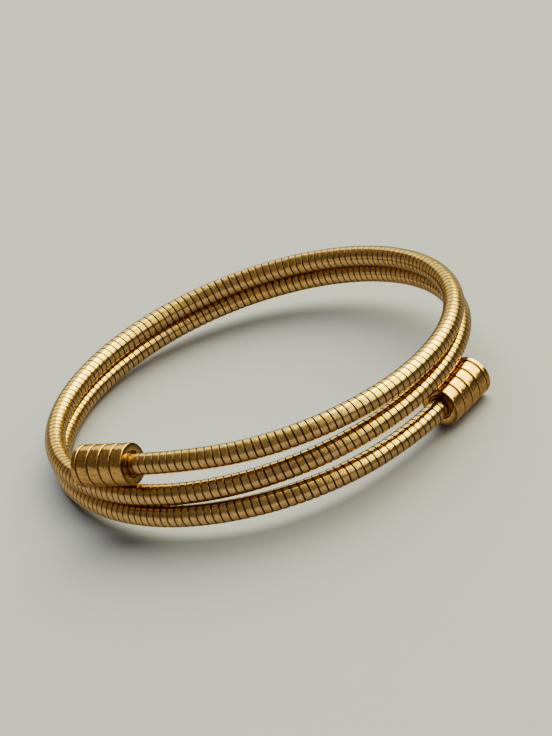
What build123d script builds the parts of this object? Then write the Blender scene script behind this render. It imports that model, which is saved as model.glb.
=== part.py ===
from build123d import *
import os
from collections import namedtuple
from math import asin, cos, degrees, radians, sin, tan

# Spiral coil bracelet: a springy tube coiled into two and a quarter turns, with a turned barrel
# cap on each end. It lies on a surface and leans on its lower cap. Millimetres and degrees.
# Angles of winding run anticlockwise seen from above, from the upper cap down to the lower cap.

# Tube
tube_diameter = 3.05
tube_wall = 0.5

# Coil: the radius is that of the tube's centreline, half way down the coil
coil_radius = 30.5
coil_turns = 2.25
start_angle = 229.0
turn_gap = 0.05
turn_growth = 0.1
turn_shift = 0.6
turn_shift_lag = 199.0

# How the coil rests, in degrees of winding: how far before the lower cap the lowest strand
# touches the surface, and how far past that cap's mouth the direction lies in which it leans up
touch_lead = 159.0
lean_past = 8.0

# Bends of the coil near its ends, in degrees of winding and in millimetres outward
upper_bend_reach = 120.0
upper_bend_outward = -1.0
lower_bow_lead = 62.0
lower_bow_reach = 60.0
lower_bow_outward = 1.65
lower_bend_reach = 77.0

# End caps
cap_diameter = 6.0
cap_length = 8.6
cap_flare = 4.2
upper_cap_tip = 1.2
cap_gap = 0.2
mouth_clearance = 0.375
mouth_depth = 0.4
end_wall = 3.6
seat_clearance = 0.1
mouth_chamfer = 0.12
end_chamfer = 0.35
end_band = 0.92
groove_count = 4
groove_width = 0.22
groove_depth = 0.22

# Route of the tube: straight runs joined by arcs, about this many degrees from corner to corner
corner_step = 22.5
arc_share = 0.48

tube_radius = tube_diameter / 2
cap_radius = cap_diameter / 2
seat_depth = cap_length - end_wall
groove_pitch = (cap_length - end_band) / groove_count
end_angle = start_angle + 360 * coil_turns
middle_angle = (start_angle + end_angle) / 2
touch_angle = end_angle - touch_lead
lean_angle = end_angle + lean_past
turn_drop = tube_diameter + turn_gap
cap_offset = cap_radius + tube_radius + cap_gap


def lean_height():
    """How far the coil rises towards lean_angle: the strand over the lower cap rests on it."""
    lift = cap_radius + cap_offset - tube_radius
    fall = turn_drop * (touch_angle - end_angle + 360) / 360
    swing = cos(radians(end_angle - lean_angle)) - cos(radians(touch_angle - lean_angle))
    return (lift - fall) / swing


def plain_height(angle):
    """Height of the tube's centreline where no bend reaches."""
    lean = lean_height()
    lean_at_touch = lean * cos(radians(touch_angle - lean_angle))
    lean_here = lean * cos(radians(angle - lean_angle))
    return tube_radius + turn_drop * (touch_angle - angle) / 360 + lean_here - lean_at_touch


# The upper end climbs onto the cap's radius, the lowest strand bows outward on its way to the
# lower cap, and the lower end comes down until that cap lies on the surface.
Bend = namedtuple("Bend", "angle reach outward upward")
bends = (
    Bend(start_angle, upper_bend_reach, upper_bend_outward, cap_offset - turn_drop),
    Bend(end_angle - lower_bow_lead, lower_bow_reach, lower_bow_outward, 0),
    Bend(end_angle, lower_bend_reach, 0, cap_radius - plain_height(end_angle)),
)


def centre(angle, widen=1):
    """Point of the tube's centreline at an angle of winding, its radius widened by a factor."""
    turn = (angle - middle_angle) / 360
    shift = turn_shift * turn * cos(radians(angle - start_angle - turn_shift_lag))
    radius = coil_radius + turn_growth * turn + shift
    height = plain_height(angle)
    for bend in bends:
        share = min(abs(angle - bend.angle) / bend.reach, 1)
        swell = cos(radians(90 * share)) ** 2
        radius += bend.outward * swell
        height += bend.upward * swell
    radius *= widen
    return Vector(radius * cos(radians(angle)), radius * sin(radians(angle)), height)


def outward_axis(angle, side, rise):
    """Direction out of a cap's mouth, along the tube: side is 1 at the upper cap, -1 at the lower."""
    heading = radians(angle + side * (90 + cap_flare))
    level = cos(radians(rise))
    return Vector(level * cos(heading), level * sin(heading), sin(radians(rise)))


def upper_cap_rise():
    """Rise of the upper cap's axis: the slope of the strand beneath it, and a little more."""
    reach = degrees(cap_length / coil_radius)
    beneath = centre(start_angle + 360)
    run = beneath - centre(start_angle + 360 - reach)
    return degrees(asin(run.Z / run.length)) + upper_cap_tip


Mouth = namedtuple("Mouth", "point axis")
upper_mouth = Mouth(centre(start_angle), outward_axis(start_angle, 1, upper_cap_rise()))
lower_mouth = Mouth(centre(end_angle), outward_axis(end_angle, -1, 0))


def route_corners():
    """Corners of the tube's route, from its end inside the upper cap to its end inside the lower."""
    steps = round((end_angle - start_angle) / corner_step)
    step = (end_angle - start_angle) / steps
    half = radians(step / 2)
    lead = coil_radius * tan(half)
    entry = seat_depth - seat_clearance
    corners = [upper_mouth.point - upper_mouth.axis * entry]
    corners.append(upper_mouth.point + upper_mouth.axis * lead)
    for i in range(1, steps - 1):
        corners.append(centre(start_angle + (i + 0.5) * step, 1 / cos(half)))
    corners.append(lower_mouth.point + lower_mouth.axis * lead)
    corners.append(lower_mouth.point - lower_mouth.axis * entry)
    return corners


def coil_route():
    """The tube's centreline, its arcs nearly as large as the runs between corners allow."""
    corners = route_corners()
    radii = []
    for i in range(1, len(corners) - 1):
        before = corners[i] - corners[i - 1]
        after = corners[i + 1] - corners[i]
        half_turn = radians(before.get_angle(after) / 2)
        radii.append(arc_share * min(before.length, after.length) / tan(half_turn))
    return FilletPolyline(*corners, radius=radii)


def coil_tube():
    """The tube, hollow from end to end."""
    route = coil_route()
    ring = Circle(tube_radius) - Circle(tube_radius - tube_wall)
    tube = sweep(Plane(origin=route @ 0, z_dir=route % 0) * ring, path=route)
    section = ring.area
    print("route length", round(route.length, 2), "volume", round(tube.volume, 1),
          "section times length", round(section * route.length, 1))
    return tube


def cap_outline():
    """Half of the cap's lengthwise section: x runs from the mouth face at 0 to the closed end."""
    seat_radius = tube_radius + seat_clearance
    mouth_radius = tube_radius + mouth_clearance
    points = [(0, mouth_radius), (0, cap_radius - mouth_chamfer), (-mouth_chamfer, cap_radius)]
    for i in range(groove_count):
        middle = -groove_pitch * (i + 1)
        points.append((middle + groove_width / 2, cap_radius))
        points.append((middle, cap_radius - groove_depth))
        points.append((middle - groove_width / 2, cap_radius))
    points += [(end_chamfer - cap_length, cap_radius), (-cap_length, cap_radius - end_chamfer)]
    points += [(-cap_length, 0), (-seat_depth, 0), (-seat_depth, seat_radius)]
    points.append((-mouth_depth, seat_radius))
    return points


def end_cap(mouth):
    """One turned cap, its mouth face at a mouth point and its axis along the tube there."""
    section = make_face(Polyline(*cap_outline(), close=True))
    barrel = revolve(section, Axis.X)
    place = Plane(origin=mouth.point, x_dir=mouth.axis, z_dir=mouth.axis.cross(Vector(0, 0, 1)))
    return place * barrel


def main():
    pieces = {
        "coil_tube": coil_tube(),
        "upper_end_cap": end_cap(upper_mouth),
        "lower_end_cap": end_cap(lower_mouth),
    }
    box = Compound(list(pieces.values())).bounding_box()
    home = Pos(-box.center().X, -box.center().Y, -box.min.Z)
    print("coil centre", tuple(round(v, 3) for v in home.position))
    os.makedirs("parts", exist_ok=True)
    for name, piece in pieces.items():
        export_step(home * piece, f"parts/{name}.step")


main()
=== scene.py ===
from math import atan2, cos, pi, radians, sin, tan

import bmesh
import bpy
from bpy.props import FloatProperty, FloatVectorProperty, IntProperty, PointerProperty
from mathutils import Matrix, Vector


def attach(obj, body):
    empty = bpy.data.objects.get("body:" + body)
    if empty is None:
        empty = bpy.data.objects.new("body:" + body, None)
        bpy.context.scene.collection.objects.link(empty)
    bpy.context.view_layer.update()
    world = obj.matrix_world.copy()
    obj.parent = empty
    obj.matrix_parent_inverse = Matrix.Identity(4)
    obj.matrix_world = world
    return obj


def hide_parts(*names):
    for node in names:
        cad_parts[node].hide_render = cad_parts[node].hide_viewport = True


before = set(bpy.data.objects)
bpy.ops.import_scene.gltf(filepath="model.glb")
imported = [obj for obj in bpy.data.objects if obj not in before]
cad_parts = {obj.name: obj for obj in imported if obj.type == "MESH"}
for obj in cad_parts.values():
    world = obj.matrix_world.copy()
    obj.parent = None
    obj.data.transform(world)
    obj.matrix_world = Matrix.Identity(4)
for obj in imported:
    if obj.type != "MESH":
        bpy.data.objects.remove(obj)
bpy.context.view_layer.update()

bl_info = {
    "name": "Spiral Coil Bracelet",
    "version": (1, 0, 0),
    "blender": (4, 5, 0),
    "location": "View3D > Sidebar > Bracelet",
    "description": "A springy bracelet coiled from a tube of polished strip, with two turned caps",
    "category": "Add Mesh",
}

# The frame: metres, Z up, the origin at the middle of the bracelet's underside. Angles of winding
# run anticlockwise seen from above, from the upper cap down to the lower cap.


class CoilSizes(bpy.types.PropertyGroup):
    """Sizes of the coil: the same as those of the frame's plain tube"""
    centre: FloatVectorProperty(
        name="Coil Centre", description="Where the middle of the coil lies in the frame",
        default=(-0.000026, 0.000322, 0), subtype="TRANSLATION")
    tube: FloatProperty(
        name="Tube", description="Diameter of the tube", default=0.00305, unit="LENGTH")
    radius: FloatProperty(
        name="Radius", description="Radius of the tube's centreline half way down the coil",
        default=0.0305, unit="LENGTH")
    turns: FloatProperty(
        name="Turns", description="Turns from the upper cap to the lower cap", default=2.25)
    start: FloatProperty(
        name="Start", description="Angle of winding at the upper cap's mouth",
        default=radians(229), subtype="ANGLE")
    turn_gap: FloatProperty(
        name="Turn Gap", description="Gap between one turn and the next", default=0.00005,
        unit="LENGTH")
    turn_growth: FloatProperty(
        name="Turn Growth", description="Growth of the radius from turn to turn", default=0.0001,
        unit="LENGTH")
    turn_shift: FloatProperty(
        name="Turn Shift", description="Sideways shift of each turn against the last",
        default=0.0006, unit="LENGTH")
    turn_shift_lag: FloatProperty(
        name="Shift Lag", description="Winding from the upper cap to the shift's direction",
        default=radians(199), subtype="ANGLE")
    touch_lead: FloatProperty(
        name="Touch Lead", description="Winding from where the coil touches to the lower cap",
        default=radians(159), subtype="ANGLE")
    lean_past: FloatProperty(
        name="Lean Past", description="Winding from the lower cap's mouth to the high side",
        default=radians(8), subtype="ANGLE")
    upper_bend_reach: FloatProperty(
        name="Upper Bend Reach", description="Winding over which the upper end bends",
        default=radians(120), subtype="ANGLE")
    upper_bend_outward: FloatProperty(
        name="Upper Bend Outward", description="How far the upper end bends out (in if negative)",
        default=-0.001, unit="LENGTH")
    lower_bow_lead: FloatProperty(
        name="Lower Bow Lead", description="Winding from the lower bow's middle to the lower cap",
        default=radians(62), subtype="ANGLE")
    lower_bow_reach: FloatProperty(
        name="Lower Bow Reach", description="Winding over which the lower bow swells each way",
        default=radians(60), subtype="ANGLE")
    lower_bow_outward: FloatProperty(
        name="Lower Bow Outward", description="How far the lowest strand bows out before its cap",
        default=0.00165, unit="LENGTH")
    lower_bend_reach: FloatProperty(
        name="Lower Bend Reach", description="Winding over which the lower end comes down",
        default=radians(77), subtype="ANGLE")
    corner_step: FloatProperty(
        name="Corner Step", description="Winding from one point of the route to the next",
        default=radians(22.5), subtype="ANGLE")


class CapSizes(bpy.types.PropertyGroup):
    """Sizes of the turned caps"""
    diameter: FloatProperty(
        name="Diameter", description="Outer diameter of a cap", default=0.006, unit="LENGTH")
    length: FloatProperty(
        name="Length", description="Length of a cap", default=0.0086, unit="LENGTH")
    flare: FloatProperty(
        name="Flare", description="How far a cap's axis turns out from the coil",
        default=radians(4.2), subtype="ANGLE")
    upper_tip: FloatProperty(
        name="Upper Tip", description="How far the upper cap tips up from the strand beneath it",
        default=radians(1.2), subtype="ANGLE")
    gap: FloatProperty(
        name="Gap", description="Gap between a cap and the strand beside it", default=0.0002,
        unit="LENGTH")
    mouth_clearance: FloatProperty(
        name="Mouth Clearance", description="Gap round the tube at a cap's mouth",
        default=0.000375, unit="LENGTH")
    ring_width: FloatProperty(
        name="Ring Width", description="Width of the ring let into the mouth face",
        default=0.00022, unit="LENGTH")
    ring_depth: FloatProperty(
        name="Ring Depth", description="Depth of the ring let into the mouth face",
        default=0.0003, unit="LENGTH")
    lip_drop: FloatProperty(
        name="Lip Drop", description="How far the lip round the tube lies below the mouth face",
        default=0.00005, unit="LENGTH")
    lip_edge: FloatProperty(
        name="Lip Edge", description="Rounding of the lip", default=0.00006, unit="LENGTH")
    lip_clearance: FloatProperty(
        name="Lip Clearance", description="Gap between the lip and the tube", default=0.00004,
        unit="LENGTH")
    end_wall: FloatProperty(
        name="End Wall", description="Solid metal behind the tube's seat", default=0.0036,
        unit="LENGTH")
    seat_clearance: FloatProperty(
        name="Seat Clearance", description="Gap between the tube's end and the seat's bottom",
        default=0.0001, unit="LENGTH")
    end_band: FloatProperty(
        name="End Band", description="Length of the short band at the closed end",
        default=0.00092, unit="LENGTH")
    grooves: IntProperty(
        name="Grooves", description="Number of turned grooves", default=4, min=1, max=12)
    groove_width: FloatProperty(
        name="Groove Width", description="Width of a groove", default=0.00028, unit="LENGTH")
    groove_depth: FloatProperty(
        name="Groove Depth", description="Depth of a groove", default=0.00025, unit="LENGTH")
    crown: FloatProperty(
        name="Crown", description="How far a band stands proud in its middle", default=0.00002,
        unit="LENGTH")
    edge: FloatProperty(
        name="Edge", description="Rounding of a band's edges", default=0.00008, unit="LENGTH")
    mouth_edge: FloatProperty(
        name="Mouth Edge", description="Rounding of the mouth's edge", default=0.00013,
        unit="LENGTH")
    end_edge: FloatProperty(
        name="End Edge", description="Rounding of the closed end, up to a quarter of its band",
        default=0.00025, unit="LENGTH")
    sides: IntProperty(
        name="Sides", description="Faces round a cap", default=96, min=24, max=256)


class StripSizes(bpy.types.PropertyGroup):
    """Sizes of the strip that the tube is wound from"""
    pitch: FloatProperty(
        name="Pitch", description="Width of one band of the winding", default=0.0011,
        unit="LENGTH")
    groove_depth: FloatProperty(
        name="Groove Depth", description="Depth of the line between two bands", default=0.00012,
        unit="LENGTH")
    groove_width: FloatProperty(
        name="Groove Width", description="Width of the line between two bands",
        default=0.00017, unit="LENGTH")
    edge: FloatProperty(
        name="Edge", description="Size of the broken edge beside a line", default=0.00002,
        unit="LENGTH")
    crown: FloatProperty(
        name="Crown", description="How far a band's middle stands above its edges",
        default=0.000014, unit="LENGTH")
    proud: FloatProperty(
        name="Proud", description="How far a band's middle stands above the plain tube",
        default=0.000018, unit="LENGTH")
    upper_collar: FloatProperty(
        name="Upper Collar", description="Plain length of tube in front of the upper cap's mouth",
        default=0.0004, unit="LENGTH")
    lower_collar: FloatProperty(
        name="Lower Collar", description="Plain length of tube in front of the lower cap's mouth",
        default=0.0012, unit="LENGTH")
    sides: IntProperty(
        name="Sides", description="Faces round the tube", default=24, min=12, max=48)


class MetalSettings(bpy.types.PropertyGroup):
    """Colours and polish of the metal, and the painted shade in its grooves"""
    gold: FloatVectorProperty(
        name="Gold", description="Colour of the polished metal", default=(0.50, 0.298, 0.118),
        subtype="COLOR", min=0, max=1)
    cap_gold: FloatVectorProperty(
        name="Cap Gold", description="Colour of the turned caps", default=(0.45, 0.248, 0.08),
        subtype="COLOR", min=0, max=1)
    grazing: FloatVectorProperty(
        name="Grazing", description="Tint of the metal seen at a low angle",
        default=(0.90, 0.81, 0.64), subtype="COLOR", min=0, max=1)
    # Painted shade: the colour laid down the grooves and the mouth's ring for the shade there
    painted_groove_shade: FloatVectorProperty(
        name="Groove Tint", description="Colour of the metal down in the grooves",
        default=(0.05, 0.026, 0.010), subtype="COLOR", min=0, max=1)
    roughness: FloatProperty(
        name="Roughness", description="Roughness of the polished metal", default=0.09, min=0,
        max=1, subtype="FACTOR")
    unevenness: FloatProperty(
        name="Unevenness", description="Height of the fine unevenness of the polish",
        default=0.000016, unit="LENGTH")
    mottle: FloatProperty(
        name="Mottle", description="How much the metal's brightness varies from patch to patch",
        default=0.75, min=0, max=1, subtype="FACTOR")


class StageSettings(bpy.types.PropertyGroup):
    """The camera, the floor and the light"""
    elevation: FloatProperty(
        name="Elevation", description="Height of the camera above the floor, as an angle",
        default=radians(28.44), subtype="ANGLE")
    distance: FloatProperty(
        name="Distance", description="Distance from the camera to the coil's centre",
        default=0.4656, unit="LENGTH")
    yaw: FloatProperty(
        name="Yaw", description="Turn of the camera to its left", default=radians(-0.380),
        subtype="ANGLE")
    pitch: FloatProperty(
        name="Pitch", description="Tilt of the camera upwards", default=radians(0.671),
        subtype="ANGLE")
    roll: FloatProperty(
        name="Roll", description="Turn of the camera about its line of sight",
        default=radians(17.69), subtype="ANGLE")
    lens: FloatProperty(
        name="Lens", description="Focal length in millimetres", default=157.55)
    floor_size: FloatProperty(
        name="Floor", description="Length of the floor's side", default=8.0, unit="LENGTH")
    floor_colour: FloatVectorProperty(
        name="Floor Colour", description="Colour of the pale floor",
        default=(0.078, 0.0563, 0.141), subtype="COLOR", min=0, max=1)
    key_colour: FloatVectorProperty(
        name="Key Colour", description="Colour of the soft light on the floor",
        default=(0.674, 1.0, 0.351), subtype="COLOR", min=0, max=1)
    key_strength: FloatProperty(
        name="Key Strength", description="Strength of the soft light on the floor", default=49.0)
    key_heading: FloatProperty(
        name="Key Heading", description="Heading of the soft light, from straight back",
        default=radians(22), subtype="ANGLE")
    key_rise: FloatProperty(
        name="Key Rise", description="Elevation of the soft light", default=radians(48),
        subtype="ANGLE")
    key_spread: FloatProperty(
        name="Key Spread", description="Angle that the soft light fills", default=radians(78),
        subtype="ANGLE")
    window_colour: FloatVectorProperty(
        name="Window Colour", description="Colour of the wide soft light",
        default=(0.90, 1.0, 0.22), subtype="COLOR", min=0, max=1)
    window_strength: FloatProperty(
        name="Window Strength", description="Strength of the wide soft light", default=12.4)
    window_left: FloatProperty(
        name="Window Left", description="Heading of the light's left edge, from straight back",
        default=radians(16), subtype="ANGLE")
    window_right: FloatProperty(
        name="Window Right", description="Heading of the light's right edge, from straight back",
        default=radians(116), subtype="ANGLE")
    window_bottom: FloatProperty(
        name="Window Bottom", description="Elevation of the light's lower edge",
        default=radians(18.5), subtype="ANGLE")
    window_top: FloatProperty(
        name="Window Top", description="Elevation of the light's upper edge",
        default=radians(66), subtype="ANGLE")
    window_blur: FloatProperty(
        name="Window Blur", description="Half the width over which the light's edges fade",
        default=radians(5), subtype="ANGLE")
    core_strength: FloatProperty(
        name="Core Strength", description="Strength added in the brightest part of the light",
        default=9.0)
    core_left: FloatProperty(
        name="Core Left", description="Heading of the brightest part's left edge",
        default=radians(24), subtype="ANGLE")
    core_right: FloatProperty(
        name="Core Right", description="Heading of the brightest part's right edge",
        default=radians(60), subtype="ANGLE")
    core_bottom: FloatProperty(
        name="Core Bottom", description="Elevation of the brightest part's lower edge",
        default=radians(34), subtype="ANGLE")
    wing_left: FloatProperty(
        name="Wing Left", description="Heading of the left edge of the dimmer light around it",
        default=radians(-18.5), subtype="ANGLE")
    wing_right: FloatProperty(
        name="Wing Right", description="Heading of the right edge of the dimmer light around it",
        default=radians(142), subtype="ANGLE")
    wing_strength: FloatProperty(
        name="Wing Strength", description="Strength of the dimmer light beside the wide one",
        default=2.7)
    wing_bottom: FloatProperty(
        name="Wing Bottom", description="Elevation of the lower edge of the dimmer light",
        default=radians(15), subtype="ANGLE")
    wing_colour: FloatVectorProperty(
        name="Wing Colour", description="Colour of the dimmer light beside the wide one",
        default=(0.92, 1.0, 0.50), subtype="COLOR", min=0, max=1)
    sill_step: FloatProperty(
        name="Sill Step", description="How far the light's lower edge rises at a step in it",
        default=radians(6), subtype="ANGLE")
    lintel_step: FloatProperty(
        name="Lintel Step", description="How far the light's upper edge comes down on the right",
        default=radians(11), subtype="ANGLE")
    room_colour: FloatVectorProperty(
        name="Room Colour", description="Colour of the dim room", default=(0.33, 0.31, 0.225),
        subtype="COLOR", min=0, max=1)
    far_side: FloatProperty(
        name="Far Side", description="How much dimmer the room is on the left", default=0.35,
        min=0, max=1, subtype="FACTOR")
    low_colour: FloatVectorProperty(
        name="Low Colour", description="Colour of the far floor, seen low down",
        default=(0.55, 0.53, 0.36), subtype="COLOR", min=0, max=1)
    ground_colour: FloatVectorProperty(
        name="Ground Colour", description="Colour in which the metal mirrors the floor",
        default=(1.0, 0.99, 0.80), subtype="COLOR", min=0, max=1)
    low_top: FloatProperty(
        name="Low Top", description="Elevation up to which the far floor shows",
        default=radians(12), subtype="ANGLE")


class BraceletSettings(bpy.types.PropertyGroup):
    """All the settings of the bracelet"""
    coil: PointerProperty(type=CoilSizes, name="Coil", description="Sizes of the coil")
    cap: PointerProperty(type=CapSizes, name="Caps", description="Sizes of the caps")
    strip: PointerProperty(type=StripSizes, name="Strip", description="Sizes of the strip")
    metal: PointerProperty(type=MetalSettings, name="Metal", description="Finish of the metal")
    stage: PointerProperty(type=StageSettings, name="Stage", description="Camera and light")


# Route of the tube

# Points to each span of the route's smooth curve
CURVE_STEPS = 48
# Share of the seated length, from the mouth, at which the route starts to run straight
STRAIGHT_FROM = 0.8


class Route:
    """The tube's route through the frame, and the mouths of the caps at its ends."""

    def __init__(self, coil, cap):
        self.coil = coil
        self.cap = cap
        self.tube_radius = coil.tube / 2
        self.cap_radius = cap.diameter / 2
        self.end = coil.start + 2 * pi * coil.turns
        self.middle = (coil.start + self.end) / 2
        self.touch = self.end - coil.touch_lead
        self.lean_to = self.end + coil.lean_past
        self.turn_drop = coil.tube + coil.turn_gap
        self.cap_offset = self.cap_radius + self.tube_radius + cap.gap
        self.lean = self.lean_height()
        self.bends = (
            (coil.start, coil.upper_bend_reach, coil.upper_bend_outward,
             self.cap_offset - self.turn_drop),
            (self.end - coil.lower_bow_lead, coil.lower_bow_reach, coil.lower_bow_outward, 0),
            (self.end, coil.lower_bend_reach, 0, self.cap_radius - self.plain_height(self.end)),
        )
        self.seat_depth = cap.length - cap.end_wall
        self.upper_mouth = self.point(coil.start)
        self.upper_axis = self.outward_axis(coil.start, 1, self.upper_rise())
        self.lower_mouth = self.point(self.end)
        self.lower_axis = self.outward_axis(self.end, -1, 0)

    def lean_height(self):
        """How far the coil rises towards its high side, to rest on the lower cap."""
        lift = self.cap_radius + self.cap_offset - self.tube_radius
        fall = self.turn_drop * (self.touch - self.end + 2 * pi) / (2 * pi)
        swing = cos(self.end - self.lean_to) - cos(self.touch - self.lean_to)
        return (lift - fall) / swing

    def plain_height(self, angle):
        """Height of the tube's centreline where no bend reaches."""
        lean = self.lean * (cos(angle - self.lean_to) - cos(self.touch - self.lean_to))
        return self.tube_radius + self.turn_drop * (self.touch - angle) / (2 * pi) + lean

    def point(self, angle, widen=1):
        """Point of the tube's centreline at an angle of winding, its radius widened."""
        coil = self.coil
        turn = (angle - self.middle) / (2 * pi)
        shift = coil.turn_shift * turn * cos(angle - coil.start - coil.turn_shift_lag)
        radius = coil.radius + coil.turn_growth * turn + shift
        height = self.plain_height(angle)
        for at, reach, outward, upward in self.bends:
            share = min(abs(angle - at) / reach, 1)
            swell = cos(pi / 2 * share) ** 2
            radius += outward * swell
            height += upward * swell
        radius *= widen
        return Vector((radius * cos(angle), radius * sin(angle), height)) + Vector(coil.centre)

    def upper_rise(self):
        """Rise of the upper cap's axis: the slope of the strand beneath it, and its tip."""
        under = self.coil.start + 2 * pi
        run = self.point(under) - self.point(under - self.cap.length / self.coil.radius)
        return atan2(run.z, run.xy.length) + self.cap.upper_tip

    def outward_axis(self, angle, side, rise):
        """Direction out of a cap's mouth: side is 1 at the upper cap and -1 at the lower."""
        heading = angle + side * (pi / 2 + self.cap.flare)
        return Vector((cos(rise) * cos(heading), cos(rise) * sin(heading), sin(rise)))

    def control_points(self):
        """Control points of the route's smooth curve, from the upper seat to the lower seat."""
        coil = self.coil
        steps = round((self.end - coil.start) / coil.corner_step)
        step = (self.end - coil.start) / steps
        lead = coil.radius * tan(step / 2)
        entry = self.seat_depth - self.cap.seat_clearance
        points = [self.point(coil.start + (i + 0.5) * step, 1 / cos(step / 2))
                  for i in range(1, steps - 1)]
        for mouth, axis, at in ((self.upper_mouth, self.upper_axis, 0),
                                (self.lower_mouth, self.lower_axis, len(points) + 3)):
            run = [mouth - axis * entry, mouth - axis * entry * STRAIGHT_FROM,
                   mouth + axis * lead]
            points[at:at] = run if at == 0 else reversed(run)
        return points

    def curve(self, name):
        """The route as a curve object that bends a straight piece laid along X."""
        data = bpy.data.curves.new(name, "CURVE")
        data.dimensions = "3D"
        data.twist_mode = "Z_UP"
        data.resolution_u = CURVE_STEPS
        points = self.control_points()
        spline = data.splines.new("NURBS")
        spline.points.add(len(points) - 1)
        for vert, place in zip(spline.points, points):
            vert.co = (*place, 1)
        spline.order_u = 3
        spline.use_endpoint_u = True
        curve = bpy.data.objects.new(name, data)
        bpy.context.scene.collection.objects.link(curve)
        return curve


# Meshes

# Closer than this, in metres, two points count as one: within a piece, and where turns meet
NEAR = 1e-7
TURNS_MEET = 1e-6
# Edges that turn by more than this stay sharp, on the winding and on the caps
STRIP_CREASE = radians(25)
CAP_CREASE = radians(32)
# Turns of winding made before the tube's upper end, which the cut there takes off
LEAD_TURNS = 2
# Share of a band's width over which the winding flattens into the plain collar
COLLAR_FADE = 0.25
# Points along a band of a cap, as shares of its length
BAND_POINTS = (0, 0.25, 0.5, 0.75, 1)
# Share of a cap's groove that its flat floor takes
GROOVE_FLOOR = 0.5
# Share of the lip's rounding that the finest edges of the mouth get
FINE_EDGE = 1 / 3
# How fast the painted shade comes in with depth, and where it starts, in the mouth and in a groove
MOUTH_PAINTED_SHADE = (1.6, 0.3)
GROOVE_PAINTED_SHADE = (4, -0.8)


def new_piece(name, bm):
    """A new object in the scene made of this bmesh, which it frees."""
    mesh = bpy.data.meshes.new(name)
    bm.to_mesh(mesh)
    bm.free()
    piece = bpy.data.objects.new(name, mesh)
    bpy.context.scene.collection.objects.link(piece)
    return piece


def apply_modifiers(piece):
    """Gives the piece the mesh that its modifiers make, and takes them off."""
    depsgraph = bpy.context.evaluated_depsgraph_get()
    mesh = bpy.data.meshes.new_from_object(piece.evaluated_get(depsgraph))
    piece.modifiers.clear()
    old = piece.data
    mesh.name = old.name
    piece.data = mesh
    bpy.data.meshes.remove(old)


def shade_smooth(bm, angle):
    """Shades the faces smooth, but for flat ends and edges that turn by more than the angle."""
    for face in bm.faces:
        face.smooth = len(face.verts) <= 4
    for edge in bm.edges:
        edge.smooth = edge.calc_face_angle(0) < angle


def profile_wire(bm, points):
    """A chain of edges through points given as (distance along X, radius)."""
    verts = [bm.verts.new((x, 0, r)) for x, r in points]
    return verts + [bm.edges.new(pair) for pair in zip(verts, verts[1:])]


def strip_profile(strip, tube_radius):
    """One band of the winding from groove to groove, as (distance along X, radius)."""
    half = strip.groove_width / 2
    pitch = strip.pitch
    top = tube_radius + strip.proud
    rim = top - strip.crown
    side = [(0, rim - strip.groove_depth), (half, rim - strip.edge), (half + strip.edge, rim)]
    return side + [(pitch / 2, top)] + [(pitch - x, r) for x, r in reversed(side)]


def wind_strip(strip, route, length):
    """A straight tube along X, wound of strip, with plain collars where the caps' mouths are."""
    bm = bmesh.new()
    wire = profile_wire(bm, strip_profile(strip, route.tube_radius))
    bmesh.ops.spin(
        bm, geom=wire, cent=(0, 0, 0), axis=(1, 0, 0), dvec=(strip.pitch / strip.sides, 0, 0),
        angle=2 * pi, steps=strip.sides, use_merge=False, use_duplicate=False)
    uv = bm.loops.layers.uv.new("strip")
    for face in bm.faces:
        middle = face.calc_center_median()
        around = atan2(-middle.y, middle.z) % (2 * pi)
        for loop in face.loops:
            place = loop.vert.co
            apart = atan2(-place.y, place.z) - around
            turn = (around + (apart + pi) % (2 * pi) - pi) / (2 * pi)
            loop[uv].uv = (place.x / strip.pitch - turn, turn)
    piece = new_piece("strip_winding", bm)
    array = piece.modifiers.new("turns", "ARRAY")
    array.count = int(length / strip.pitch) + LEAD_TURNS + 1
    array.use_relative_offset = False
    array.use_constant_offset = True
    array.constant_offset_displace = (strip.pitch, 0, 0)
    array.offset_v = 1
    apply_modifiers(piece)

    bm = bmesh.new()
    bm.from_mesh(piece.data)
    bmesh.ops.remove_doubles(bm, verts=bm.verts, dist=TURNS_MEET)
    bmesh.ops.translate(bm, verts=bm.verts, vec=(-LEAD_TURNS * strip.pitch, 0, 0))
    for end, outward in ((0, -1), (length, 1)):
        cut = bmesh.ops.bisect_plane(
            bm, geom=bm.verts[:] + bm.edges[:] + bm.faces[:], plane_co=(end, 0, 0),
            plane_no=(outward, 0, 0), clear_outer=True, dist=NEAR)
        rim = [e for e in cut["geom_cut"] if isinstance(e, bmesh.types.BMEdge)]
        bmesh.ops.contextual_create(bm, geom=rim)
    seated = route.seat_depth - route.cap.seat_clearance
    for vert in bm.verts:
        inside = max(seated + strip.upper_collar - vert.co.x,
                     seated + strip.lower_collar - (length - vert.co.x))
        share = min(max(inside / (COLLAR_FADE * strip.pitch), 0), 1)
        radius = vert.co.yz.length
        if share > 0 and radius > 0:
            wanted = radius + (route.tube_radius - radius) * share
            vert.co.yz = vert.co.yz * (wanted / radius)
    bmesh.ops.recalc_face_normals(bm, faces=bm.faces)
    shade_smooth(bm, STRIP_CREASE)
    bm.to_mesh(piece.data)
    bm.free()
    return piece


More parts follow.
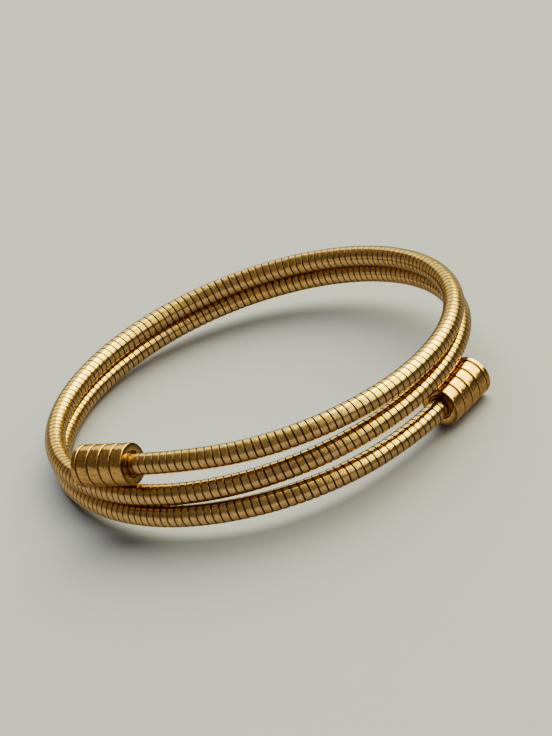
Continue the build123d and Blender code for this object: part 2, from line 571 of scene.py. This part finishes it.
def cap_profile(cap, tube_radius):
    """Half of a cap's lengthwise section, as (distance along X, radius), from the axis at the
    closed end, along the bands to the mouth, and in along the seat to the axis."""
    radius = cap.diameter / 2
    pitch = (cap.length - cap.end_band) / cap.grooves
    half = cap.groove_width / 2
    starts = [-cap.length] + [-pitch * (cap.grooves - i) + half for i in range(cap.grooves)]
    stops = [-pitch * (cap.grooves - i) - half for i in range(cap.grooves)] + [0]
    points = [(-cap.length, 0)]
    for start, stop in zip(starts, stops):
        for share in BAND_POINTS:
            drop = cap.crown * (2 * share - 1) ** 2
            points.append((start + (stop - start) * share, radius - drop))
        if stop < 0:
            points.append((stop + half * (1 - GROOVE_FLOOR), radius - cap.groove_depth))
            points.append((stop + half * (1 + GROOVE_FLOOR), radius - cap.groove_depth))
    mouth_radius = tube_radius + cap.mouth_clearance
    lip_radius = mouth_radius - cap.ring_width
    seat_radius = tube_radius + cap.lip_clearance
    seat_depth = cap.length - cap.end_wall
    points += [(0, mouth_radius), (-cap.lip_drop - cap.lip_edge, mouth_radius)]
    points += [(-cap.ring_depth, mouth_radius), (-cap.ring_depth, lip_radius)]
    points += [(-cap.lip_drop, lip_radius), (-cap.lip_drop, seat_radius)]
    points += [(-seat_depth, seat_radius), (-seat_depth, 0)]
    return points


def round_ring(bm, x, radius, size, segments):
    """Rounds the ring of edges at this distance along X and this radius."""
    ring = [e for e in bm.edges
            if all(abs(v.co.x - x) < NEAR and abs(v.co.yz.length - radius) < NEAR
                   for v in e.verts)]
    bmesh.ops.bevel(
        bm, geom=ring, offset=size, offset_type="OFFSET", segments=segments, profile=0.5,
        affect="EDGES", clamp_overlap=True, material=-1)


def turn_cap(name, cap, tube_radius, mouth, axis):
    """A turned cap with its mouth face at a point of the frame and its axis out of the mouth."""
    bm = bmesh.new()
    points = cap_profile(cap, tube_radius)
    bmesh.ops.spin(
        bm, geom=profile_wire(bm, points), cent=(0, 0, 0), axis=(1, 0, 0), angle=2 * pi,
        steps=cap.sides, use_merge=True, use_duplicate=False)
    bmesh.ops.remove_doubles(bm, verts=bm.verts, dist=NEAR)
    bmesh.ops.recalc_face_normals(bm, faces=bm.faces)
    radius = cap.diameter / 2
    edge = radius - cap.crown
    pitch = (cap.length - cap.end_band) / cap.grooves
    half = cap.groove_width / 2
    mouth_radius = tube_radius + cap.mouth_clearance
    fine_edge = cap.lip_edge * FINE_EDGE
    round_ring(bm, -cap.length, edge, cap.end_edge, segments=5)
    round_ring(bm, 0, edge, cap.mouth_edge, segments=3)
    round_ring(bm, 0, mouth_radius, fine_edge, segments=2)
    round_ring(bm, -cap.lip_drop, mouth_radius - cap.ring_width, cap.lip_edge, segments=3)
    round_ring(bm, -cap.lip_drop, tube_radius + cap.lip_clearance, fine_edge, segments=2)
    for i in range(cap.grooves):
        middle = -pitch * (i + 1)
        for side in (-half, half):
            round_ring(bm, middle + side, edge, cap.edge, segments=3)
    # The closed end's rounding reaches the next ring of points, and there the two rings merge
    bmesh.ops.remove_doubles(bm, verts=bm.verts, dist=NEAR)
    shade_smooth(bm, CAP_CREASE)
    # Painted shade: how dark each point is painted, deeper down the mouth's ring and the grooves
    groove = bm.verts.layers.float.new("groove")
    for vert in bm.verts:
        out = vert.co.yz.length
        if vert.co.x < cap.end_edge - cap.length:
            painted_shade = 0
        elif out < mouth_radius + cap.mouth_edge:
            rate, start = MOUTH_PAINTED_SHADE
            painted_shade = (-cap.lip_drop - vert.co.x) / cap.lip_edge * rate + start
        else:
            rate, start = GROOVE_PAINTED_SHADE
            painted_shade = (edge - out) / cap.groove_depth * rate + start
        vert[groove] = min(max(painted_shade, 0), 1)
    sideways = Vector((0, 0, 1)).cross(axis).normalized()
    turn = Matrix((axis, sideways, axis.cross(sideways))).transposed().to_4x4()
    bmesh.ops.transform(bm, matrix=Matrix.Translation(mouth) @ turn, verts=bm.verts)
    return new_piece(name, bm)


# Materials

# The painted shade's edge beside a line of the winding, as multiples of half the line's width
LINE_FADE = (1.05, 1.6)
# Fine lines and patches of the strip's polish: how many to a band's width, across and along
STRIP_LINES = (14, 1.2, 1)
STRIP_PATCHES = 2.3
STRIP_DETAIL = 2.0
# Patches of the caps' polish to the metre
CAP_PATCHES = 2600.0
CAP_DETAIL = 3.0
# How far the roughness swings with the lines and patches of the polish
STRIP_SWING = 0.10
CAP_SWING = 0.16
# Middle level of the polish's noise, and the level at which the caps have the plain roughness
NOISE_MIDDLE = 0.5
CAP_PLAIN_LEVEL = 0.4
# How much more uneven the caps' polish is than the strip's
CAP_UNEVENNESS = 2


class Value:
    """A shader socket that adds Math nodes when it is used in an expression."""

    def __init__(self, net, socket):
        self.net = net
        self.socket = socket

    def __add__(self, other):
        return self.net.maths("ADD", self, other)

    def __sub__(self, other):
        return self.net.maths("SUBTRACT", self, other)

    def __rsub__(self, other):
        return self.net.maths("SUBTRACT", other, self)

    def __mul__(self, other):
        return self.net.maths("MULTIPLY", self, other)

    def __abs__(self):
        return self.net.maths("ABSOLUTE", self)

    __radd__ = __add__
    __rmul__ = __mul__

    def ramp(self, low, high, to_low=0, to_high=1):
        """Goes smoothly from to_low to to_high as the value goes from low to high."""
        settings = {"interpolation_type": "SMOOTHSTEP"}
        inputs = {0: self, 1: low, 2: high, 3: to_low, 4: to_high}
        return self.net.add("ShaderNodeMapRange", settings, inputs).out()

    def between(self, low, high, blur):
        """1 between low and high and 0 outside, fading over the blur to each side of both."""
        return self.ramp(low - blur, low + blur) * self.ramp(high - blur, high + blur, 1, 0)


class Node:
    """One node of a material, with its sockets by name or number."""

    def __init__(self, net, node):
        self.net = net
        self.node = node

    def out(self, key=0):
        return Value(self.net, self.node.outputs[key])


class Net:
    """The nodes of a material or a world."""

    def __init__(self, owner):
        owner.use_nodes = True
        self.tree = owner.node_tree
        self.tree.nodes.clear()

    def add(self, kind, settings, inputs):
        """A node of this type, with these settings and these values or links of its sockets."""
        node = self.tree.nodes.new(kind)
        for key, value in settings.items():
            setattr(node, key, value)
        for key, value in inputs.items():
            if isinstance(value, Value):
                self.tree.links.new(value.socket, node.inputs[key])
            else:
                node.inputs[key].default_value = value
        return Node(self, node)

    def maths(self, operation, *values):
        """The result of a Math node on these values."""
        return self.add("ShaderNodeMath", {"operation": operation}, dict(enumerate(values))).out()

    def scale(self, rgb, factor):
        """A colour times a value."""
        return self.add("ShaderNodeVectorMath", {"operation": "SCALE"},
                        {0: tuple(rgb), "Scale": factor}).out()

    def sum(self, one, other):
        """The sum of two colours."""
        return self.add("ShaderNodeVectorMath", {"operation": "ADD"}, {0: one, 1: other}).out()

    def mix(self, factor, low, high):
        """A colour between two colours."""
        settings = {"data_type": "RGBA", "blend_type": "MIX"}
        return self.add("ShaderNodeMix", settings, {0: factor, 6: low, 7: high}).out(2)


def colour(rgb):
    """A colour as a socket takes it, with its alpha."""
    return (*rgb, 1)


def strip_metal(metal, strip, tube_radius):
    """Polished gold strip: fine lines along the strip, and painted shade down in the grooves."""
    material = bpy.data.materials.new("polished_strip")
    net = Net(material)
    place = net.add("ShaderNodeUVMap", {"uv_map": "strip"}, {}).out()
    parts = net.add("ShaderNodeSeparateXYZ", {}, {0: place})
    across = parts.out(0)
    from_edge = 0.5 - abs(across - 0.5)
    groove_share = strip.groove_width / strip.pitch / 2
    in_band = from_edge.ramp(*(groove_share * edge for edge in LINE_FADE))
    around = 2 * pi * tube_radius / strip.pitch
    scaled = net.add("ShaderNodeMapping", {}, {"Vector": place, "Scale": (1, around, 1)}).out()
    drawn = net.add("ShaderNodeMapping", {}, {"Vector": scaled, "Scale": STRIP_LINES}).out()
    lines = net.add("ShaderNodeTexNoise", {"noise_dimensions": "2D"},
                    {"Vector": drawn, "Scale": 1.0, "Detail": STRIP_DETAIL}).out()
    patches = net.add("ShaderNodeTexNoise", {"noise_dimensions": "2D"},
                      {"Vector": scaled, "Scale": STRIP_PATCHES, "Detail": STRIP_DETAIL}).out()
    worn = net.scale(metal.gold, 1 + metal.mottle * (lines + patches - 2 * NOISE_MIDDLE))
    # Painted shade: the lines between the bands take the groove's shade colour
    gold = net.mix(in_band, colour(metal.painted_groove_shade), worn)
    rough = (metal.roughness + STRIP_SWING * (patches - NOISE_MIDDLE)
             + STRIP_SWING * (lines - NOISE_MIDDLE))
    bump = net.add("ShaderNodeBump", {}, {"Strength": 1.0, "Distance": metal.unevenness,
                                          "Height": lines + patches}).out()
    shader = net.add("ShaderNodeBsdfPrincipled", {},
                     {"Base Color": gold, "Metallic": 1.0, "Roughness": rough,
                      "Specular Tint": colour(metal.grazing), "Normal": bump}).out()
    net.add("ShaderNodeOutputMaterial", {}, {"Surface": shader})
    return material


def cap_metal(metal):
    """Polished gold of the turned caps, with painted shade down the grooves and the mouth's ring.
    """
    material = bpy.data.materials.new("polished_cap")
    net = Net(material)
    place = net.add("ShaderNodeTexCoord", {}, {}).out("Object")
    patches = net.add("ShaderNodeTexNoise", {}, {"Vector": place, "Scale": CAP_PATCHES,
                                                 "Detail": CAP_DETAIL}).out()
    rough = metal.roughness + CAP_SWING * (patches - CAP_PLAIN_LEVEL)
    uneven = metal.unevenness * CAP_UNEVENNESS
    bump = net.add("ShaderNodeBump", {}, {"Strength": 1.0, "Distance": uneven,
                                          "Height": patches}).out()
    # Painted shade: the groove attribute darkens the grooves and the mouth's ring
    painted_shade = net.add("ShaderNodeAttribute", {"attribute_name": "groove"}, {}).out("Fac")
    worn = net.scale(metal.cap_gold, 1 + 2 * metal.mottle * (patches - NOISE_MIDDLE))
    gold = net.mix(painted_shade, worn, colour(metal.painted_groove_shade))
    shader = net.add("ShaderNodeBsdfPrincipled", {},
                     {"Base Color": gold, "Metallic": 1.0, "Roughness": rough,
                      "Specular Tint": colour(metal.grazing), "Normal": bump}).out()
    net.add("ShaderNodeOutputMaterial", {}, {"Surface": shader})
    return material


def floor_finish(stage):
    """The plain pale floor."""
    material = bpy.data.materials.new("pale_floor")
    net = Net(material)
    shader = net.add("ShaderNodeBsdfPrincipled", {},
                     {"Base Color": colour(stage.floor_colour), "Roughness": 0.9}).out()
    net.add("ShaderNodeOutputMaterial", {}, {"Surface": shader})
    return material


# Stage

# Parts of the room by heading: from and to, and half the width of the fade, in degrees
SPANS = {
    "left": (-140, -60, 20),
    "right": (38, 140, 10),
    "behind": (-13, 13, 5),
    "beyond": (-66, 34, 15),
    "sill_step": (89, 103, 4),
}
# How the light changes as the elevation rises: from and to, in degrees, and its share at each
CLIMBS = {
    "ceiling": (45, 70, 1, 1.35),
    "ground": (-80, -20, 0.36, 0.84),
    "inside": (-26, -12, 1, 0),
    "right_ground": (-32, -6, 0, 1),
    "horizon": (-4, 1, 0, 1),
}
# Headings over which the wide light's upper edge comes down, and over which the front begins
LINTEL_STEP = (radians(72), radians(98))
FRONT = (radians(140), radians(165))
# Half the width of an edge's fade, as a multiple of the light's blur
SILL_FADE = 1.3
LINTEL_FADE = 2
WING_LEFT_FADE = 0.5
WING_RIGHT_FADE = 2
LOW_FADE = 0.5
# Share of the light that is left above its upper edge
ABOVE = 0.2
# How much brighter the far floor is in each part, as a share, or dimmer if negative
FAR_FLOOR = {"left": 0.4, "right": -0.7, "front": -0.45}
# By what share the floor that the metal mirrors is dimmer in each part
GROUND_DIMS = {"beyond": 0.5, "behind": 0.5, "right": 0.26, "right_ground": 0.58}
# How near and how far the camera sees, in metres
CAMERA_CLIP = (0.01, 100)


def light_room(scene, stage):
    """The room that the metal mirrors: one wide soft light, dim walls and a floor below."""
    world = bpy.data.worlds.new("soft_room")
    scene.world = world
    net = Net(world)
    toward = net.add("ShaderNodeTexCoord", {}, {}).out("Generated")
    parts = net.add("ShaderNodeSeparateXYZ", {}, {0: toward})
    heading = net.maths("ARCTAN2", parts.out(0), parts.out(1))
    rise = net.maths("ARCSINE", parts.out(2))
    blur = stage.window_blur

    def span(name):
        left, right, fade = SPANS[name]
        return heading.between(radians(left), radians(right), radians(fade))

    def climb(name):
        low, high, at_low, at_high = CLIMBS[name]
        return rise.ramp(radians(low), radians(high), at_low, at_high)

    panes = heading.between(stage.window_left, stage.window_right, blur)
    lower = rise - stage.window_bottom - stage.sill_step * span("sill_step")
    upper = rise - stage.window_top + stage.lintel_step * heading.ramp(*LINTEL_STEP)
    sill = lower.ramp(-SILL_FADE * blur, SILL_FADE * blur)
    lintel = upper.ramp(-LINTEL_FADE * blur, LINTEL_FADE * blur, 1, ABOVE)
    core = (heading.between(stage.core_left, stage.core_right, blur)
            * rise.between(stage.core_bottom, stage.window_top, blur))
    window = sill * lintel * panes * stage.window_strength + core * stage.core_strength

    left_fade, right_fade = WING_LEFT_FADE * blur, WING_RIGHT_FADE * blur
    wings = (heading.ramp(stage.wing_left - left_fade, stage.wing_left + left_fade)
             * heading.ramp(stage.wing_right - right_fade, stage.wing_right + right_fade, 1, 0)
             * rise.ramp(stage.wing_bottom - blur, stage.wing_bottom + blur)
             * lintel * (1 - panes))
    bright = net.sum(net.scale(stage.window_colour, window),
                     net.scale(stage.wing_colour, wings * stage.wing_strength))

    left, right = span("left"), span("right")
    front = abs(heading).ramp(*FRONT)
    room = net.scale(stage.room_colour, (1 - stage.far_side * left) * climb("ceiling"))
    far = net.scale(stage.low_colour, 1 + FAR_FLOOR["left"] * left + FAR_FLOOR["right"] * right
                    + FAR_FLOOR["front"] * front)
    ground = net.scale(stage.ground_colour,
                       climb("ground")
                       * (1 - GROUND_DIMS["beyond"] * span("beyond") * climb("inside"))
                       * (1 - GROUND_DIMS["behind"] * span("behind"))
                       * (1 - GROUND_DIMS["right"] * right)
                       * (1 - GROUND_DIMS["right_ground"] * right * climb("right_ground")))
    low_fade = LOW_FADE * blur
    low = rise.ramp(stage.low_top - low_fade, stage.low_top + low_fade, 1, 0)
    dim = net.mix(climb("horizon"), ground, net.mix(low, room, far))
    light = net.add("ShaderNodeBackground", {}, {0: net.sum(dim, bright)}).out()
    net.add("ShaderNodeOutputWorld", {}, {0: light})


def light_floor(scene, stage):
    """The soft light that gives the bracelet its shadow. The metal doesn't mirror it."""
    data = bpy.data.lights.new("key", "SUN")
    data.energy = stage.key_strength
    data.angle = stage.key_spread
    data.color = stage.key_colour
    key = bpy.data.objects.new("key", data)
    scene.collection.objects.link(key)
    key.rotation_euler = (stage.key_rise - pi / 2, 0, -stage.key_heading)
    key.visible_glossy = False


def aim_camera(scene, stage, centre):
    """The camera at the photograph's viewing angle, turned from looking at the coil's centre."""
    back_off = Vector((0, -cos(stage.elevation), sin(stage.elevation))) * stage.distance
    forward = -back_off.normalized()
    right = Vector((1, 0, 0))
    up = right.cross(forward)
    turn = Matrix.Rotation(stage.yaw, 3, up)
    forward, right = turn @ forward, turn @ right
    turn = Matrix.Rotation(stage.pitch, 3, right)
    forward, up = turn @ forward, turn @ up
    turn = Matrix.Rotation(stage.roll, 3, forward)
    right, up = turn @ right, turn @ up
    data = bpy.data.cameras.new("camera")
    data.lens = stage.lens
    data.clip_start, data.clip_end = CAMERA_CLIP
    camera = bpy.data.objects.new("camera", data)
    scene.collection.objects.link(camera)
    facing = Matrix((right, up, -forward)).transposed().to_4x4()
    camera.matrix_world = Matrix.Translation(back_off + centre) @ facing
    scene.camera = camera


# Operators

class BRACELET_OT_coil(bpy.types.Operator):
    """Winds the tube of polished strip and bends it along the coil"""
    bl_idname = "bracelet.coil"
    bl_label = "Wound Coil"

    def execute(self, context):
        sizes = context.scene.bracelet
        route = Route(sizes.coil, sizes.cap)
        curve = route.curve("coil_route")
        length = curve.data.splines[0].calc_length(resolution=CURVE_STEPS)
        piece = wind_strip(sizes.strip, route, length)
        bend = piece.modifiers.new("bend", "CURVE")
        bend.object = curve
        bend.deform_axis = "POS_X"
        apply_modifiers(piece)
        bpy.data.curves.remove(curve.data)
        piece.data.materials.clear()
        piece.data.materials.append(strip_metal(sizes.metal, sizes.strip, route.tube_radius))
        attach(piece, "root")
        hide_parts("coil_tube")
        return {"FINISHED"}


class BRACELET_OT_caps(bpy.types.Operator):
    """Turns the two end caps"""
    bl_idname = "bracelet.caps"
    bl_label = "End Caps"

    def execute(self, context):
        sizes = context.scene.bracelet
        route = Route(sizes.coil, sizes.cap)
        metal = cap_metal(sizes.metal)
        for name, mouth, axis in (("upper_end_cap", route.upper_mouth, route.upper_axis),
                                  ("lower_end_cap", route.lower_mouth, route.lower_axis)):
            piece = turn_cap("turned_" + name, sizes.cap, route.tube_radius, mouth, axis)
            piece.data.materials.append(metal)
            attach(piece, "root")
            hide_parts(name)
        return {"FINISHED"}


class BRACELET_OT_stage(bpy.types.Operator):
    """Sets up the camera, the pale floor and the soft light"""
    bl_idname = "bracelet.stage"
    bl_label = "Stage"

    def execute(self, context):
        sizes = context.scene.bracelet
        stage = sizes.stage
        bm = bmesh.new()
        bmesh.ops.create_grid(bm, x_segments=1, y_segments=1, size=stage.floor_size / 2)
        floor = new_piece("floor", bm)
        floor.data.materials.append(floor_finish(stage))
        floor.visible_glossy = False
        light_room(context.scene, stage)
        light_floor(context.scene, stage)
        aim_camera(context.scene, stage, Vector(sizes.coil.centre))
        return {"FINISHED"}


class BRACELET_PT_panel(bpy.types.Panel):
    """Lists the bracelet's operators and sizes"""
    bl_idname = "BRACELET_PT_panel"
    bl_label = "Spiral Coil Bracelet"
    bl_space_type = "VIEW_3D"
    bl_region_type = "UI"
    bl_category = "Bracelet"

    def draw(self, context):
        settings = context.scene.bracelet
        for operator in (BRACELET_OT_coil, BRACELET_OT_caps, BRACELET_OT_stage):
            self.layout.operator(operator.bl_idname)
        for group in (settings.coil, settings.cap, settings.strip, settings.metal,
                      settings.stage):
            box = self.layout.box()
            for name in group.bl_rna.properties.keys():
                if name not in ("rna_type", "name"):
                    box.prop(group, name)


CLASSES = (
    CoilSizes, CapSizes, StripSizes, MetalSettings, StageSettings, BraceletSettings,
    BRACELET_OT_coil, BRACELET_OT_caps, BRACELET_OT_stage, BRACELET_PT_panel,
)


def register():
    for item in CLASSES:
        bpy.utils.register_class(item)
    bpy.types.Scene.bracelet = PointerProperty(type=BraceletSettings)


def unregister():
    del bpy.types.Scene.bracelet
    for item in reversed(CLASSES):
        bpy.utils.unregister_class(item)


def main():
    register()
    bpy.ops.bracelet.coil()
    bpy.ops.bracelet.caps()
    bpy.ops.bracelet.stage()


if __name__ == "__main__":
    main()
